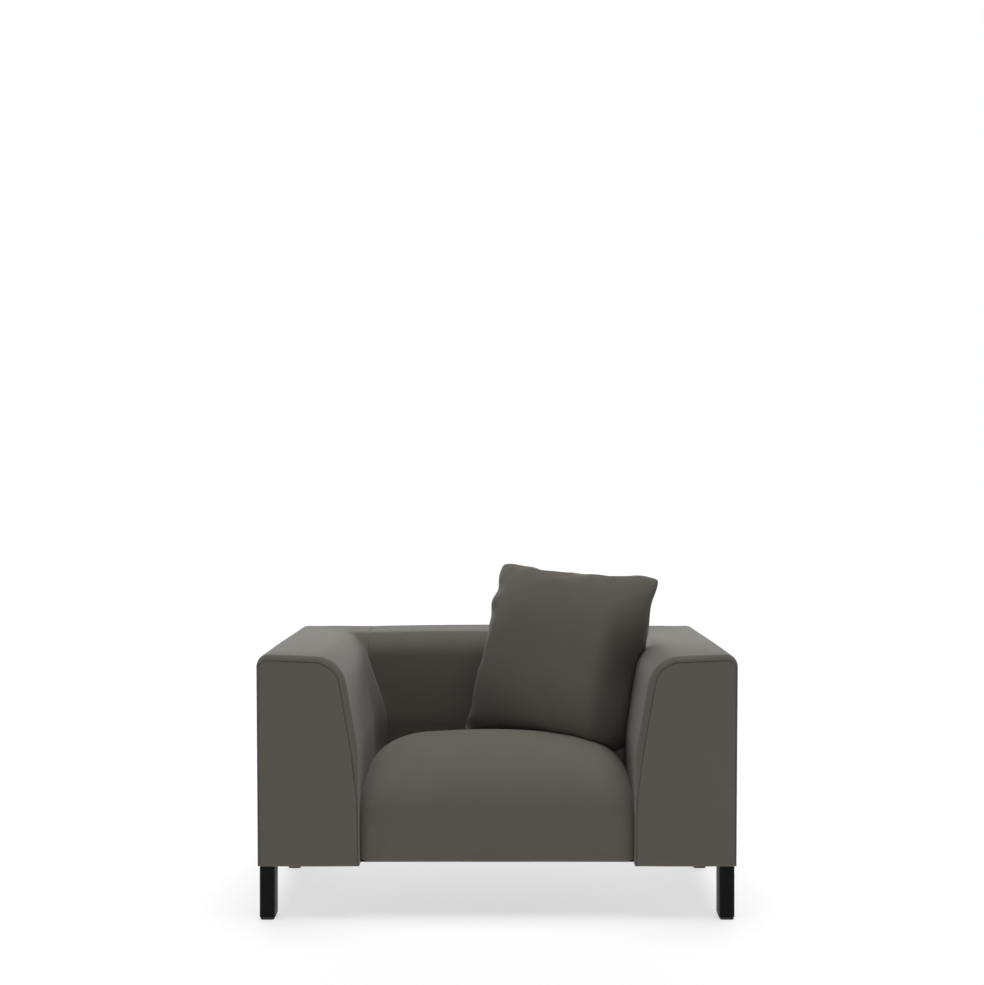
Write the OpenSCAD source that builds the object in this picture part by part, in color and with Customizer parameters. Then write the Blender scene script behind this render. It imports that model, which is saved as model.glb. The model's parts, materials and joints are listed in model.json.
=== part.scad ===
/* [Overall] */
// Width across the outer faces of the arms, at their tops
chair_w = 1155; // [1050:1:1250]
// Depth from the arm fronts to the rear face
chair_d = 800; // [760:1:860]
// Height of the outer top edges of the arms and of the back
arm_h = 643; // [610:1:680]
// Height of the underside of the body above the floor
leg_h = 130; // [100:1:160]

/* [Arms and back] */
// Width of an arm, or thickness of the back, at its top
wall_top = 202; // [190:1:215]
// Width of an arm, or thickness of the back, at seat level
wall_foot = 241; // [230:1:250]
// How much the outer faces lean in towards the floor
wall_lean = 3.5; // [0:0.5:6]
// Radius of the outer top edges
outer_r = 25; // [15:1:35]
// Radius of the inner top edges
inner_r = 60; // [40:1:70]
// Fall of the top surface from its outer to its inner edge
top_fall = 11; // [0:1:16]
// Width of the rolled edge around the end panels of the arms
edge_roll = 16; // [10:1:22]

/* [Seat] */
// Height of the seat's crown
seat_h = 410; // [390:1:430]
// Height of the seat where it meets the back
seat_rear_h = 354; // [345:1:400]
// How far the seat's front sits behind the fronts of the arms
seat_inset = 18; // [5:1:30]
// Height of the lower edge of the seat's front
seat_low = 135; // [130:1:150]
// Depth of the long roll from the seat's front up to its crown
seat_roll = 257; // [230:1:275]
// Height at which the seat's front starts to roll back
seat_face = 225; // [205:1:240]

/* [Legs] */
// Width of a leg's section
leg_w = 37; // [30:1:45]
// Depth of a leg's section
leg_d = 62; // [50:1:75]
// Radius of the leg's corners
leg_r = 9; // [4:1:12]
// Distance from the arm front to the front legs
leg_front = 8; // [5:1:30]
// Distance between the front faces of the front and rear legs
leg_pitch = 487; // [440:1:520]

/* [Throw cushion] */
// Side of the square cushion
cushion_w = 468; // [430:1:475]
// Thickness at the middle of the cushion
cushion_t = 148; // [110:1:155]
// Turn of the cushion into the corner
cushion_turn = -33; // [-36:1:-30]
// Lean of the cushion against the back and the arm
cushion_lean = -18; // [-20:1:-16]
// Tilt of the cushion in its own plane
cushion_tilt = 3; // [2:0.5:4]

/* [Construction] */
// Thickness of the upholstery cover
cover_t = 2; // [1.5:0.1:2.5]
// Thickness of the foam on the arms and the back
foam_t = 25; // [20:1:28]
// Thickness of the plywood boards
board_t = 18; // [15:1:22]
// Thickness of the timber rails
rail_t = 27; // [22:1:30]
// Diameter of the seat's spring wire
wire_d = 4; // [3:0.2:5]
// Number of seat springs
spring_count = 5; // [4:1:6]

/* [Hidden] */
$fn = 32;
gap = 0.4;
ease = 8;
skin = cover_t + ease;
half_w = chair_w / 2;
half_d = chair_d / 2;
deck_z = 250;
frame_up = 4;
frame_z = leg_h + frame_up;
foot_in = half_w - wall_foot;
knee_z = 500;
knee_in = 16;
foot_z = 330;
bend_r = 200;
wadding_t = 11.5;
pad_in = edge_roll + 5;
frame_out = 12.5;
board_in = foam_t + cover_t + 1;
rail_x = half_w - frame_out - wall_lean - rail_t;
inner_rail_x = foot_in + board_in;
board_y = half_d - cover_t - wadding_t - 2 * gap;
rail_half = board_y - board_t;
seat_front = -half_d + seat_inset;
seat_rear = half_d - wall_foot - 1;
seat_half = foot_in - 0.8;
foam_in = 32;
seat_wrap = 22;
seat_fall = 1.3;
side_drop = 110;
side_reach = 152;
bulge = 0.89;
seat_rail_t = 25;
front_rail_y = seat_front + 30;
rear_rail_y = half_d - wall_foot + board_in + 5;
back_rail_y = half_d - 55;
rib_t = 22;
rib_rear = 55;
top_rail_low = 530;
top_rail_high = 600;
pad_z = deck_z + 12;
felt_t = 3;
foam_half = foot_in + 22;
spring_pitch = 120;
spring_half = 24;
clip_half = 8;
run_step = 24;
wire_z = deck_z + wire_d / 2 + 2;
plate_t = 4;
plate_w = 80;
plate_from = -30;
plate_to = 70;
block_from = -5;
block_to = 75;
bolt_back = 8;
screw_back = [12, 54];
glide_t = 6;
leg_x = half_w - 6.5 - leg_w / 2;
leg_ys = [-half_d + leg_front + leg_d / 2, -half_d + leg_front + leg_pitch + leg_d / 2];
block_w = 50;
block_h = 50;
screw_l = 30;
screw_x = rail_x - block_w / 2;
side_rail_h = 100;
bolt_l = 96;
bolt_in_leg = 38;
bolt_r = 4;
screw_r = 2.2;
screw_head_r = 4.4;
screw_head_t = 2.4;
cloth = [0.34, 0.33, 0.30];
timber = [0.80, 0.66, 0.45];
foam_colour = [0.93, 0.90, 0.78];

// ---- outlines ----

// Unit vector from a to b
function toward(a, b) = (b - a) / norm(b - a);

// Arc that rounds the corner b between a and c to radius r
function round_corner(a, b, c, r, steps = 6) =
    let (u = toward(b, a), v = toward(b, c), half = acos(u * v) / 2)
    let (reach = r / tan(half), middle = b + toward([0, 0], u + v) * r / sin(half))
    let (from = b + u * reach - middle, to = b + v * reach - middle)
    let (turn = 180 - 2 * half, side = sign(cross(from, to)))
    [for (i = [0:steps]) let (t = side * turn * i / steps)
        middle + [from.x * cos(t) - from.y * sin(t), from.x * sin(t) + from.y * cos(t)]];

// Outline through the corners [x, y, radius]; a radius of 0 leaves the corner sharp
function outline(corners) =
    let (n = len(corners))
    [for (i = [0:n - 1])
        let (c = corners[i], a = corners[(i + n - 1) % n], b = corners[(i + 1) % n])
        each (c[2] == 0 ? [[c.x, c.y]]
            : round_corner([a.x, a.y], [c.x, c.y], [b.x, b.y], c[2]))];

// Section of an arm or of the back, inset by the given amounts on each side
function wall_corners(out, top, inside, low) = [
    [half_w - out - wall_lean, leg_h + low, 0],
    [half_w - out, arm_h - top, outer_r - min(out, outer_r - 4)],
    [half_w - wall_top + inside, arm_h - top_fall - top, inner_r - min(top, inner_r - 8)],
    [foot_in + knee_in + inside, knee_z, bend_r],
    [foot_in + inside, foot_z, bend_r],
    [foot_in + inside, leg_h + low, 0]];

// The right arm's section in X and Z
module arm_section(out = 0, top = 0, inside = 0, low = 0) {
    polygon(outline(wall_corners(out, top, inside, low)));
}

// The same section as the thickness of the back, in Y and Z
module back_section(out = 0, top = 0, inside = 0, low = 0) {
    shift = half_w - half_d;
    polygon([for (p = outline(wall_corners(out, top, inside, low))) [p.x - shift, p.y]]);
}

// Extrudes a section drawn in X and Z along Y, from y0 to y1
module along_y(y0, y1) {
    translate([0, y1, 0]) rotate([90, 0, 0]) linear_extrude(y1 - y0) children();
}

// Extrudes a section drawn in Y and Z along X, from x0 to x1
module along_x(x0, x1) {
    translate([x0, 0, 0]) rotate([90, 0, 90]) linear_extrude(x1 - x0) children();
}

// Box from its lowest to its highest corner
module span(low, high) {
    translate(low) cube(high - low);
}

// Mirrors its children to the left side when side is -1
module on_side(side) {
    mirror([side < 0 ? 1 : 0, 0, 0]) children();
}

// The space between the two arms, with a clearance at each
module between_arms(clear) {
    face = [for (p = outline(wall_corners(0, 0, 0, 0))) if (p.x < half_w - 2 * outer_r) [p.x - clear, p.y]];
    edge = concat([[face[0].x, arm_h + 60]], face, [[face[len(face) - 1].x, 0]]);
    mirrored = [for (i = [len(edge) - 1:-1:0]) [-edge[i].x, edge[i].y]];
    along_y(-half_d - 1, half_d + 1) polygon(concat(edge, mirrored));
}

// ---- timber frame ----

module cross_rail(y0) {
    color(timber) {
        span([-inner_rail_x, y0, frame_z], [inner_rail_x, y0 + seat_rail_t, deck_z]);
    }
}

module front_rail() {
    cross_rail(front_rail_y);
}

module rear_seat_rail() {
    cross_rail(rear_rail_y);
}

module back_bottom_rail() {
    cross_rail(back_rail_y - seat_rail_t);
}

module back_top_rail() {
    x1 = foot_in + knee_in - 2;
    color(timber) {
        span([-x1, back_rail_y + gap, top_rail_low], [x1, back_rail_y + board_t, top_rail_high]);
    }
}

// Shaped boards that give the back its section, clear of the springs
module back_ribs() {
    x1 = foot_in - 10 - rib_t / 2;
    x2 = spring_pitch / 2;
    color(timber) for (x = [-x1, -x2, x2, x1]) {
        intersection() {
            along_x(x - rib_t / 2, x + rib_t / 2) back_section(rib_rear, board_in + 8, board_in + 3, 0);
            span([-half_w, -half_d, deck_z], [half_w, back_rail_y, arm_h]);
        }
    }
}

module corner_blocks() {
    side_l = 60;
    block_h = 80;
    color(timber) for (side = [-1, 1]) {
        on_side(side) translate([inner_rail_x, 0, frame_z]) linear_extrude(block_h) {
            translate([0, front_rail_y + seat_rail_t]) polygon([[0, 0], [0, side_l], [-side_l, 0]]);
            translate([0, rear_rail_y]) polygon([[0, 0], [-side_l, 0], [0, -side_l]]);
        }
    }
}

// Blocks beside the side rails that the leg plates are screwed to
module leg_blocks() {
    color(timber) for (side = [-1, 1], y = leg_ys) {
        on_side(side) difference() {
            span([rail_x - block_w, y + block_from, frame_z], [rail_x, y + block_to, frame_z + block_h]);
            for (dy = screw_back) {
                translate([screw_x, y + dy, frame_z - 1]) cylinder(r = screw_r + 0.1, h = screw_l - 1);
            }
        }
    }
}

module side_rail(side) {
    color(timber) on_side(side) difference() {
        span([rail_x, -rail_half, frame_z], [rail_x + rail_t, rail_half, frame_z + side_rail_h]);
        for (y = leg_ys) {
            translate([leg_x, y + bolt_back, frame_z - 1]) {
                cylinder(r = bolt_r + 0.1, h = bolt_l - bolt_in_leg + 4);
            }
        }
    }
}

module inner_rail(side) {
    color(timber) on_side(side) {
        span([inner_rail_x, -rail_half, frame_z], [inner_rail_x + seat_rail_t, rail_half, deck_z]);
    }
}

module arm_top_rail(side) {
    x0 = half_w - 80;
    z0 = top_rail_high - 3 - rail_t;
    color(timber) on_side(side) {
        span([x0, -rail_half, z0], [x0 + 45, rail_half, z0 + rail_t]);
    }
}

// Shaped plywood board at one end of an arm; end is -1 at the front and 1 at the rear
module arm_board(side, end) {
    y0 = end < 0 ? -board_y : board_y - board_t;
    color(timber) on_side(side) {
        along_y(y0, y0 + board_t) arm_section(frame_out, board_in, board_in, frame_up);
    }
}

// ---- springs ----

// Distance along Y that a spring covers
spring_from = front_rail_y + seat_rail_t / 2;
spring_runs = floor((rear_rail_y + seat_rail_t / 2 - spring_from) / run_step);
spring_xs = [for (i = [0:spring_count - 1]) (i - (spring_count - 1) / 2) * spring_pitch];

// Half ring of wire that joins two runs of a spring
module spring_bend() {
    rotate_extrude(angle = 180) translate([run_step / 2, 0]) circle(wire_d / 2);
}

module zigzag_spring() {
    for (i = [0:spring_runs]) {
        translate([0, spring_from + i * run_step, wire_z]) {
            rotate([0, 90, 0]) cylinder(d = wire_d, h = 2 * spring_half, center = true);
            if (i < spring_runs) {
                turn = i % 2 == 0 ? -90 : 90;
                x = i % 2 == 0 ? spring_half : -spring_half;
                translate([x, run_step / 2, 0]) rotate([0, 0, turn]) spring_bend();
            }
        }
    }
}

module seat_springs() {
    color("dimgray") for (x = spring_xs) {
        translate([x, 0, 0]) zigzag_spring();
    }
}

// Steel clips that hold the end runs of the springs down on the rails
module spring_clips() {
    ends = [spring_from, spring_from + spring_runs * run_step];
    color("silver") for (x = spring_xs, y = ends) {
        translate([x, y, deck_z]) difference() {
            span([-clip_half, -6, 0], [clip_half, 6, wire_d + 4]);
            translate([0, 0, wire_z - deck_z]) rotate([0, 90, 0]) {
                cylinder(d = wire_d + 0.3, h = 3 * clip_half, center = true);
            }
        }
    }
}

// Felt pad between the springs and the foam
module spring_pad() {
    x1 = seat_half - 10;
    color("tan") span([-x1, front_rail_y, pad_z - felt_t], [x1, seat_rear - 4, pad_z]);
}

// Elastic straps across the ribs of the back
module back_webbing() {
    x1 = foot_in - 10;
    strap_w = 40;
    lean = atan(knee_in / (knee_z - foot_z));
    color([0.2, 0.2, 0.2]) for (i = [0:2]) {
        z = foot_z + 12 + i * 1.4 * strap_w;
        y = half_d - wall_foot + board_in + (z - foot_z) * tan(lean);
        translate([-x1, y, z]) rotate([-lean, 0, 0]) translate([0, 0.6, 0]) cube([2 * x1, 1.6, strap_w]);
    }
}

// ---- foam ----

// Section of the seat across its width, inset by t, and by side at each arm
function seat_across(t, side) =
    let (half = seat_half - t - side, drop = side_drop - t, flat = half - side_reach)
    let (arc = [for (a = [0:10:90]) [flat + side_reach * cos(a), seat_h - t - drop + drop * sin(a)]])
    concat([[half, 0]], arc, [for (i = [len(arc) - 1:-1:0]) [-arc[i].x, arc[i].y]], [[-half, 0]]);

// Section of the seat from front to rear, inset by t: a long roll up to the crown, then a gentle fall
function seat_along(t) =
    let (y0 = seat_front + t, run = seat_roll - t, rise = seat_h - t - seat_face)
    let (crown_y = y0 + run, rest = seat_rear - t - crown_y, fall = seat_h - seat_rear_h)
    concat([[y0, seat_low - 1]],
        [for (a = [0:6:90]) [crown_y - run * pow(cos(a), bulge), seat_face + rise * pow(sin(a), bulge)]],
        [for (s = [0.125:0.125:1]) [crown_y + rest * s, seat_h - t - fall * pow(s, seat_fall)]],
        [[seat_rear - t, seat_low - 1]]);

module seat_form(t, side = 0) {
    intersection() {
        along_y(-half_d, half_d) polygon(seat_across(t, side));
        along_x(-half_w, half_w) polygon(seat_along(t));
    }
}

module seat_foam() {
    x1 = seat_half - foam_in;
    color(foam_colour) intersection() {
        seat_form(seat_wrap, foam_in);
        union() {
            span([-half_w, -half_d, pad_z + gap], [half_w, half_d, seat_h]);
            span([-x1, -half_d, seat_low + 3], [x1, front_rail_y - gap, pad_z + 1]);
        }
    }
}

module back_foam() {
    color(foam_colour) intersection() {
        between_arms(skin);
        along_x(-half_w, half_w) difference() {
            back_section(skin, skin, skin, 0);
            back_section(-60, board_in, board_in, -60);
        }
        span([-foam_half, -half_d, pad_z], [foam_half, rail_half, arm_h]);
    }
}

module arm_foam(side) {
    color(foam_colour) on_side(side) difference() {
        along_y(-board_y, rail_half) difference() {
            arm_section(skin, skin, skin, frame_up);
            arm_section(frame_out - gap, board_in - gap, board_in - gap, -20);
        }
        span([foot_in - 1, -half_d, 0], [foot_in + 60, half_d, pad_z]);
    }
}

// Wadding between the front board and the front panel of an arm
module arm_front_pad(side) {
    color("white") on_side(side) {
        along_y(-board_y - gap - wadding_t, -board_y - gap) {
            arm_section(pad_in, pad_in, pad_in, frame_up);
        }
    }
}

// ---- covers ----

module seat_cover() {
    color(cloth) difference() {
        seat_form(0);
        seat_form(cover_t);
        span([-half_w, -half_d, 0], [half_w, half_d, seat_low]);
        span([-half_w, seat_front + 12, 0], [half_w, half_d, pad_z + 1]);
        span([-half_w, seat_rear - cover_t, 0], [half_w, half_d, seat_h]);
    }
}

module back_cover() {
    color(cloth) intersection() {
        between_arms(gap);
        difference() {
            along_x(-half_w, half_w) back_section();
            along_x(-half_w - 1, half_w + 1) back_section(cover_t, cover_t, cover_t, -10);
            span([-half_w, half_d - 8, 0], [half_w, half_d + 1, arm_h - edge_roll]);
            span([-half_w, -half_d, 0], [half_w, half_d + 1, pad_z]);
        }
    }
}

module back_outer_panel() {
    color(cloth) intersection() {
        between_arms(gap);
        span([-half_w, half_d - cover_t - wall_lean, leg_h],
            [half_w, half_d - wall_lean, arm_h - edge_roll - gap]);
    }
}

// Cover over the inside, top and outside of an arm, rolled round both ends
module arm_cover(side) {
    color(cloth) on_side(side) difference() {
        along_y(-half_d, half_d) arm_section();
        along_y(-half_d + cover_t, half_d - cover_t) arm_section(cover_t, cover_t, cover_t, -10);
        along_y(-half_d - 1, half_d + 1) arm_section(edge_roll, edge_roll, edge_roll, -10);
        span([foot_in - 1, -half_d + cover_t, 0], [foot_in + 20, half_d - cover_t, pad_z]);
    }
}

// Panel sewn into an end of an arm; end is -1 at the front and 1 at the rear
module arm_end_panel(side, end) {
    inset = edge_roll + gap / 2;
    y0 = end < 0 ? -half_d : half_d - cover_t;
    color(cloth) on_side(side) along_y(y0, y0 + cover_t) arm_section(inset, inset, inset, 0);
}

// Thin cloth stapled under the frame, cut round the leg plates
module dust_cover() {
    x1 = half_w - wall_lean - cover_t - 2;
    y0 = seat_front + 20;
    y1 = half_d - wall_lean - cover_t - 1;
    color([0.12, 0.12, 0.12]) difference() {
        span([-x1, y0, frame_z - 2], [x1, y1, frame_z - gap]);
        for (side = [-1, 1], y = leg_ys) {
            on_side(side) {
                span([rail_x + rail_t - plate_w, y + plate_from - 2, 0],
                    [half_w, y + plate_to + 2, frame_z]);
            }
        }
    }
}

// ---- legs ----

// Upright post with a rounded rectangular section
module rounded_post(w, d, r, h) {
    translate([-w / 2, -d / 2 + r, 0]) cube([w, d - 2 * r, h]);
    translate([-w / 2 + r, -d / 2, 0]) cube([w - 2 * r, d, h]);
    for (x = [-1, 1], y = [-1, 1]) {
        translate([x * (w / 2 - r), y * (d / 2 - r), 0]) cylinder(r = r, h = h);
    }
}

module leg(side, row) {
    top = frame_z - plate_t;
    color([0.07, 0.07, 0.07]) on_side(side) translate([leg_x, leg_ys[row], 0]) difference() {
        translate([0, 0, glide_t]) rounded_post(leg_w, leg_d, leg_r, top - glide_t);
        translate([0, bolt_back, top - 36]) cylinder(r = bolt_r + 0.1, h = 40);
    }
}

// Steel plates between the legs and the frame
module leg_plates() {
    x1 = rail_x + rail_t + 5;
    color("silver") for (side = [-1, 1], y = leg_ys) {
        on_side(side) difference() {
            span([x1 - plate_w + 3, y + plate_from, frame_z - plate_t], [x1, y + plate_to, frame_z]);
            translate([leg_x, y + bolt_back, 0]) cylinder(r = bolt_r + 0.2, h = 200);
            for (dy = screw_back) {
                translate([screw_x, y + dy, 0]) cylinder(r = screw_r + 0.2, h = 200);
            }
        }
    }
}

// Threaded rods that join the legs to the side rails
module leg_bolts() {
    color("gray") for (side = [-1, 1], y = leg_ys) {
        on_side(side) translate([leg_x, y + bolt_back, frame_z - bolt_in_leg]) {
            cylinder(r = bolt_r, h = bolt_l);
        }
    }
}

// Screws that hold the leg plates to the blocks
module leg_screws() {
    color("gray") for (side = [-1, 1], y = leg_ys, dy = screw_back) {
        on_side(side) translate([screw_x, y + dy, frame_z - plate_t]) {
            translate([0, 0, -screw_head_t]) cylinder(r = screw_head_r, h = screw_head_t);
            cylinder(r = screw_r, h = screw_l);
        }
    }
}

// Plastic glides under the legs
module leg_glides() {
    color([0.15, 0.15, 0.15]) for (side = [-1, 1], y = leg_ys) {
        on_side(side) translate([leg_x, y, 0]) rounded_post(leg_w - 4, leg_d - 4, leg_r - 2, glide_t);
    }
}

// ---- throw cushion ----

// Where the middle of the cushion lies
cushion_at = [154, -20, 592];

// Half of the cushion's section: a curved face that ends in a thin edge
function cushion_face(w, t) =
    let (edge = 3)
    [for (i = [0:16]) let (u = i / 8 - 1)
        [u * w / 2, edge + (t / 2 - edge) * (1 - pow(abs(u), 2.6))]];

module cushion_form(w, t) {
    face = cushion_face(w, t);
    section = concat(face, [for (i = [len(face) - 1:-1:0]) [face[i].x, -face[i].y]]);
    translate(cushion_at) rotate([cushion_lean, cushion_tilt, cushion_turn]) intersection() {
        linear_extrude(w + 2, center = true) polygon(section);
        rotate([0, 90, 0]) linear_extrude(w + 2, center = true) polygon(section);
    }
}

// The cushion, inset by t and flattened where it rests on the seat
module cushion_body(t) {
    difference() {
        cushion_form(cushion_w - 4 * t, cushion_t - 2 * t);
        seat_form(-t - 1);
    }
}

module cushion_cover() {
    color(cloth) difference() {
        cushion_body(0);
        cushion_body(1.5);
    }
}

module cushion_filling() {
    color("white") cushion_body(2);
}

front_rail();
rear_seat_rail();
back_bottom_rail();
back_top_rail();
back_ribs();
corner_blocks();
leg_blocks();
side_rail(-1);  // side_rail_left
side_rail(1);  // side_rail_right
inner_rail(-1);  // inner_rail_left
inner_rail(1);  // inner_rail_right
arm_top_rail(-1);  // arm_top_rail_left
arm_top_rail(1);  // arm_top_rail_right
arm_board(-1, -1);  // arm_front_board_left
arm_board(1, -1);  // arm_front_board_right
arm_board(-1, 1);  // arm_rear_board_left
arm_board(1, 1);  // arm_rear_board_right
seat_springs();
spring_clips();
spring_pad();
back_webbing();
seat_foam();
back_foam();
arm_foam(-1);  // arm_foam_left
arm_foam(1);  // arm_foam_right
arm_front_pad(-1);  // arm_front_pad_left
arm_front_pad(1);  // arm_front_pad_right
seat_cover();
back_cover();
back_outer_panel();
arm_cover(-1);  // arm_cover_left
arm_cover(1);  // arm_cover_right
arm_end_panel(-1, -1);  // arm_front_panel_left
arm_end_panel(1, -1);  // arm_front_panel_right
arm_end_panel(-1, 1);  // arm_rear_panel_left
arm_end_panel(1, 1);  // arm_rear_panel_right
dust_cover();
leg(-1, 0);  // leg_front_left
leg(1, 0);  // leg_front_right
leg(-1, 1);  // leg_rear_left
leg(1, 1);  // leg_rear_right
leg_plates();
leg_bolts();
leg_screws();
leg_glides();
cushion_cover();
cushion_filling();
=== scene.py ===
"""Looks of the upholstered armchair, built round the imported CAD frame. Lengths are in metres."""

import json
import math

import bmesh
import bpy
import numpy as np
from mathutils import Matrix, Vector
from mathutils.bvhtree import BVHTree
from mathutils.geometry import delaunay_2d_cdt


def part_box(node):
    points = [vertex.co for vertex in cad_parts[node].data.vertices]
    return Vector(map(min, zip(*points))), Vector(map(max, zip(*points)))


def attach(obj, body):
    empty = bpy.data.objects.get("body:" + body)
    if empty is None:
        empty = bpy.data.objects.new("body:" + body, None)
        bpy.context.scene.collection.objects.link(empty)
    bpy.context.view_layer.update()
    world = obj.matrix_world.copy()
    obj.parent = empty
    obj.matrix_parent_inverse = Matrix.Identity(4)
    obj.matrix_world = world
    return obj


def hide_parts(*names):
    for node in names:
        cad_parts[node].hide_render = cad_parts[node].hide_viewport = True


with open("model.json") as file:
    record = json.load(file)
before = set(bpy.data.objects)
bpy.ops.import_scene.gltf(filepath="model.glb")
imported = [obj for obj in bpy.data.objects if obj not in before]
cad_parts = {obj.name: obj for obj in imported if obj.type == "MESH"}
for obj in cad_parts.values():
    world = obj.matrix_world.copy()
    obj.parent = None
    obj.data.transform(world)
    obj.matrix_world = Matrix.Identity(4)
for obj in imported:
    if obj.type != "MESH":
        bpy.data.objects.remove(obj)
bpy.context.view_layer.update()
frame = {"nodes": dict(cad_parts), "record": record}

# ---- body, from the frame ----

ARM_LOW, ARM_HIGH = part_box("arm_cover_right")
SEAT_LOW, SEAT_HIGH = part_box("seat_cover")
HALF_W = ARM_HIGH[0]
FRONT_Y = ARM_LOW[1]
REAR_Y = ARM_HIGH[1]
BASE_Z = ARM_LOW[2]
# Height of the outer top edges; the padding is crowned above them
TOP_Z = ARM_HIGH[2] - 0.003

# ---- arms and back ----

# How much the outer faces lean in towards the floor
LEAN = 0.0035
# Fall of the top from its outer to its inner edge
TOP_FALL = 0.009
# Thickness at the top and at seat level
WALL_TOP = 0.204
WALL_FOOT = 0.243
# Heights at which the inner faces of an arm and of the back bend, and the radius there
ARM_KNEE_Z = 0.405
BACK_KNEE_Z = 0.400
KNEE_R = 0.25
# How far the knee of the back stands out over its foot, and an arm's foot over its knee
BACK_KNEE_OUT = 0.004
ARM_FOOT_OUT = 0.0035
# Height of the back's foot, hidden by the seat
BACK_FOOT_Z = 0.300
# Radii of the inner and outer top edges and of the rear edge
SHOULDER_R = 0.076
OUTER_R = 0.026
REAR_ROLL = 0.022
# Points of an arm's outline nearer to the middle than this are on its inner side
INNER_FROM = HALF_W - 0.12
# Height above which an outline's points belong to the shoulder of an arm, and of the back
ARM_SHOULDER_Z = 0.45
BACK_SHOULDER_Z = 0.50
# Crown of an arm's top, and the depth over which it builds up behind the front
ARM_CROWN = 0.0022
CROWN_RAMP = 0.10
# Crown of the back's top and of its outer panel
BACK_CROWN = 0.004
# How much the top falls towards the rear, and between which depths
REAR_FALL = 0.0035
FALL_FROM_Y = -0.15
FALL_TO_Y = 0.38
# How far the padding of the back's inner face stands out
BACK_SWELL = 0.010

# ---- corner between an arm and the back ----

# Depth of the back's inner face at seat level
BACK_FACE_Y = 0.160
# Radius and depth of the hollow curve that leads from the arm's inner face to the back
CORNER_R = 0.15
CORNER_IN = 0.033
# Heights between which that curve fades out upwards
CORNER_FULL_Z = 0.375
CORNER_GONE_Z = 0.615
# Width over which the shoulders of arm and back flow into each other
SHOULDER_BLEND = 0.006

# ---- seams, rolled edges and hems ----

# Distance of the seams between arms and back from the middle
SEAM_X = 0.3620
SEAM_DEPTH = 0.0024
SEAM_WIDTH = 0.0032
# How much narrower the seam round the rear panels is
REAR_SEAM_SHARPER = 3.0
# Radii of an arm's rolled front edge: on top, at the outer side, inside and at the inner foot
ROLL_TOP = 0.014
ROLL_OUTER = 0.004
ROLL_INNER = 0.016
ROLL_FOOT = 0.003
FRONT_ROLL_ANGLES = (0.0, 6.0, 14.0, 24.0, 36.0, 50.0, 64.0, 78.0, 90.0)
REAR_ROLL_ANGLES = (12.0, 24.0, 36.0, 48.0, 60.0, 70.0, 78.0, 84.0, 90.0)
# Length of an arm's rear edge that turns in to the panel's seam, and how far it turns
REAR_TURN = 0.004
REAR_TURN_IN = 0.0035
# Hem under an arm: width, start of its bend and the heights of its inner and outer edge
HEM_TURN = 0.024
HEM_BEND = 0.004
HEM_HIGH = 0.0016
HEM_LOW = 0.0003
# Inset and depth of the rows at a panel's seam, and height and turn of the rows under its foot
PANEL_EDGE = ((0.0001, SEAM_DEPTH + 0.002), (0.0009, 0.0012), (0.0018, 0.0003), (0.0034, 0.0))
PANEL_FOOT = ((0.0010, 0.0006), (0.0002, 0.0024), (0.0002, 0.0060), (0.0012, 0.0180))
FOOT_LIFT = 0.0030
# Crowns of the panels in front of and behind an arm, and how far in from the seam they are full
FRONT_PANEL_CROWN = 0.0022
REAR_PANEL_CROWN = 0.002
PANEL_SWELL_IN = 0.09
# Rear panels: height of their top seam, gap to the outer edge, half gap at the seam, corner radius
REAR_PANEL_TOP = TOP_Z - REAR_ROLL - 0.0037
REAR_PANEL_GAP = 0.0036
SEAM_GAP = 0.0004
PANEL_CORNER_R = 0.002
BACK_ARCH_R = 0.5
# Distances between points along outlines, across the back and inside panels
POINT_STEP = 0.006
BACK_STEP = 0.010
FILL_STEP = 0.016
ARM_STATIONS = 84
# Gap kept in front of the first full station of an arm, behind its rolled edge
ROLL_CLEAR = 0.020

# ---- seat ----

SEAT_FRONT = SEAT_LOW[1]
SEAT_BASE = SEAT_LOW[2]
SEAT_CROWN = SEAT_HIGH[2] + 0.002
# Depth of the crown, and height at which the front starts to roll back to it
CROWN_Y = -0.125
FACE_TOP = 0.225
# Squareness of the roll: 2 is an ellipse
ROLL_POWER = 2.25
# Where the seat ends under the back, and how its fall towards there grows
SEAT_REAR_Y = 0.190
SEAT_REAR_Z = 0.354
SEAT_FALL = 1.3
# Round-off at each side: width and drop on the front face, and what the top adds to them
SIDE_REACH = 0.030
SIDE_REACH_TOP = 0.142
SIDE_DROP = 0.016
SIDE_DROP_TOP = 0.119
# Share by which the drop is less at the rear
REAR_FLATTER = 0.47
# Slope of the top to the sides, and bow of the front face
TOP_SLOPE = 0.006
FRONT_BOW = 0.003
# Height at which the seat's width is taken from the arms, and how far it presses into them
TOUCH_Z = 0.335
PRESSED_IN = 0.0045
HEM_ROWS = 4

# ---- throw cushion ----

CUSHION_SIDE = 0.475
CUSHION_PUFF = 0.069
CUSHION_GRID = 56
CORNER_BLUNT = 0.035
PRESSURE = 1.2
FILL_FRAMES = 22
# Gathers: size, width of the wavy edge, and distance and width of the folds beside it
PUCKER = 0.0028
PUCKER_WIDTH = 0.05
FOLD_IN = 0.09
FOLD_WIDTH = 0.07
# Ears at the lower left and the upper right corner
EAR_OUT = 0.012
EAR_UP = 0.006
EAR_CURL = 0.008
UPPER_EAR_OUT = 0.008
# How far the edge beside the arm is pushed back
TUCK = 0.105
CUSHION_AT = (0.1655, -0.020, 0.5890)
CUSHION_LEAN = math.radians(-18.0)
CUSHION_TILT = math.radians(3.0)
CUSHION_TURN = math.radians(-33.0)
CUSHION_GAP = 0.0012

# ---- studio ----

CLOTH = (0.146, 0.135, 0.114)
THREAD = 0.0011
FLOOR_GREY = 0.39
FLOOR_GLOW = 0.63
FLOOR_HALF = 40.0
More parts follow.
